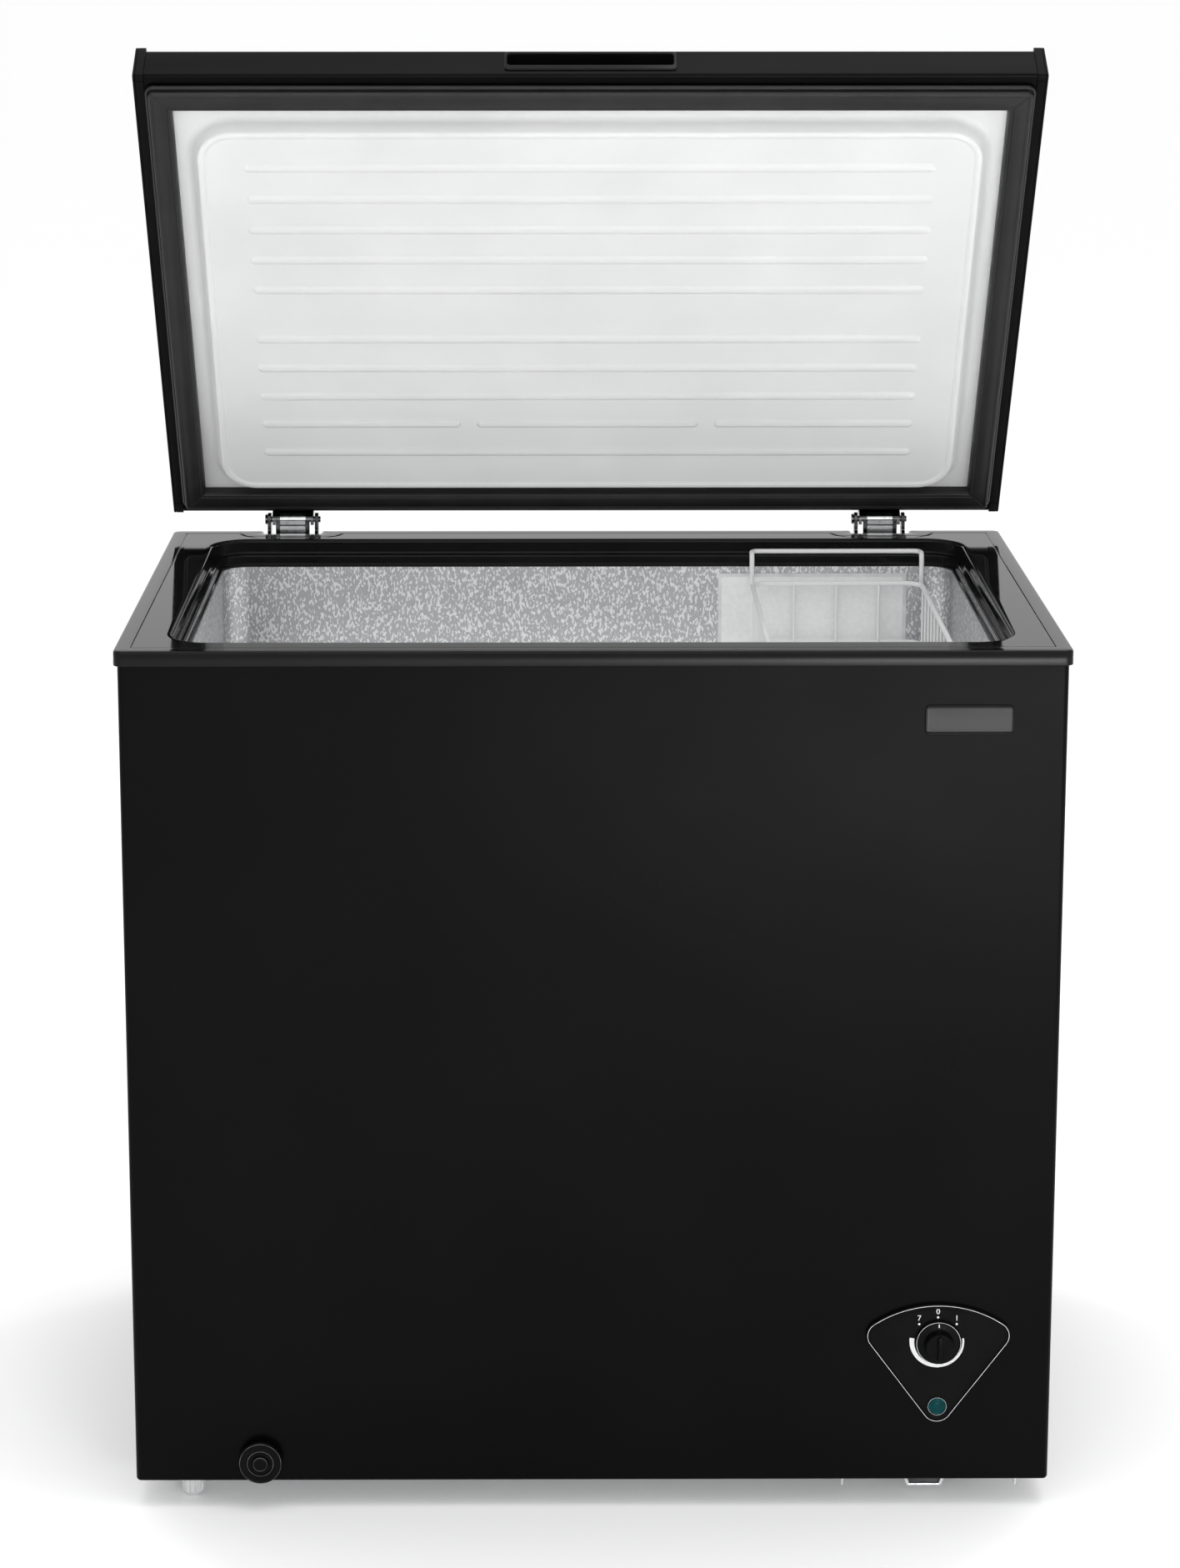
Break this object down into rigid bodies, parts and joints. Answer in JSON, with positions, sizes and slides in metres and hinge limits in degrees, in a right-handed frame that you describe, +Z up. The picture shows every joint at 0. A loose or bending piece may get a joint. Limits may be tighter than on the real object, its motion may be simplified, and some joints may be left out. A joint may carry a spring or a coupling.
{
  "type": "chest freezer",
  "caption": "Domestic chest freezer with a hinged foam-filled lid, embossed aluminium tub, hanging basket, thermostat panel, front drain and compressor bay.",
  "frame": {"origin": "on the floor, under the middle of the box around the open freezer", "axes": "+X to the right as seen from the front, -Y to the front, +Z up"},
  "size_m": [0.815, 0.5826, 1.269],
  "materials": {
    "satin_black_steel": "satin",
    "gloss_black_plastic": "gloss",
    "black_plastic": "satin",
    "soft_black_rubber": "matte",
    "white_plastic": "satin",
    "stucco_aluminium": "satin",
    "zinc_steel": "satin",
    "grey_plastic": "satin",
    "foam": "matte",
    "copper": "satin",
    "teal_lens": "gloss",
    "blank_label": "satin",
    "dark_steel": "gloss"
  },
  "bodies": {
    "cabinet": {"cabinet_shell": "satin_black_steel", "rear_panel": "satin_black_steel", "rear_cover": "satin_black_steel", "compressor": "satin_black_steel", "rim_frame": "gloss_black_plastic", "badge_blank": "gloss_black_plastic", "side_grille": "black_plastic", "relay_cover": "black_plastic", "control_panel": "black_plastic", "thermostat_body": "black_plastic", "cable_gland": "soft_black_rubber", "compressor_grommet_1": "soft_black_rubber", "compressor_grommet_2": "soft_black_rubber", "compressor_grommet_3": "soft_black_rubber", "compressor_grommet_4": "soft_black_rubber", "inner_liner": "stucco_aluminium", "bottom_pan": "zinc_steel", "compressor_bulkhead": "zinc_steel", "compressor_tray": "zinc_steel", "front_bracket": "zinc_steel", "tray_bolt_left": "zinc_steel", "tray_bolt_right": "zinc_steel", "foot_front_left": "grey_plastic", "foot_front_right": "grey_plastic", "foot_rear_left": "grey_plastic", "foot_rear_right": "grey_plastic", "drain_elbow": "grey_plastic", "lamp_holder": "grey_plastic", "foam_body": "foam", "filter_drier": "copper", "discharge_tube": "copper", "liquid_tube": "copper", "condenser_coil": "copper", "capillary_tube": "copper", "evaporator_coil": "copper", "suction_tube": "copper", "thermostat_sensor": "copper", "lamp_lens": "teal_lens", "liner_label": "blank_label", "hinge_base_left": "dark_steel", "hinge_base_right": "dark_steel", "hinge_pin_left": "dark_steel", "hinge_pin_right": "dark_steel", "hinge_spring_left": "dark_steel", "hinge_spring_right": "dark_steel"},
    "lid": {"lid_skin": "satin_black_steel", "lid_end_cap_left": "black_plastic", "lid_end_cap_right": "black_plastic", "lid_handle": "gloss_black_plastic", "lid_foam": "foam", "lid_liner": "white_plastic", "lid_gasket": "soft_black_rubber", "hinge_arm_left": "dark_steel", "hinge_arm_right": "dark_steel"},
    "knob": {"thermostat_knob": "black_plastic", "thermostat_spindle": "zinc_steel"},
    "drain_slide": {"drain_spout": "grey_plastic"},
    "drain_dial": {"drain_knob": "black_plastic"},
    "floor_plug": {"drain_plug": "soft_black_rubber"},
    "hanging_basket": {"basket": "white_plastic"}
  },
  "joints": [
    {"name": "lid_hinge", "type": "hinge", "parent": "cabinet", "child": "lid", "pos_m": [0, 0.2605, 0.79], "axis": [-1, 0, 0], "range_deg": [-58, 22]},
    {"name": "thermostat_turn", "type": "hinge", "parent": "cabinet", "child": "knob", "pos_m": [0.304, -0.28, 0.157], "axis": [0, 1, 0], "range_deg": [0, 315]},
    {"name": "drain_pull", "type": "slide", "parent": "cabinet", "child": "drain_slide", "axis": [0, -1, 0], "range_m": [0, 0.035]},
    {"name": "drain_turn", "type": "hinge", "parent": "drain_slide", "child": "drain_dial", "pos_m": [-0.293, -0.28, 0.0465], "axis": [0, 1, 0], "range_deg": [0, 180]},
    {"name": "plug_lift", "type": "slide", "parent": "cabinet", "child": "floor_plug", "axis": [0, 0, 1], "range_m": [0, 0.03]},
    {"name": "basket_slide", "type": "slide", "parent": "cabinet", "child": "hanging_basket", "axis": [-1, 0, 0], "range_m": [0, 0.486]}
  ]
}
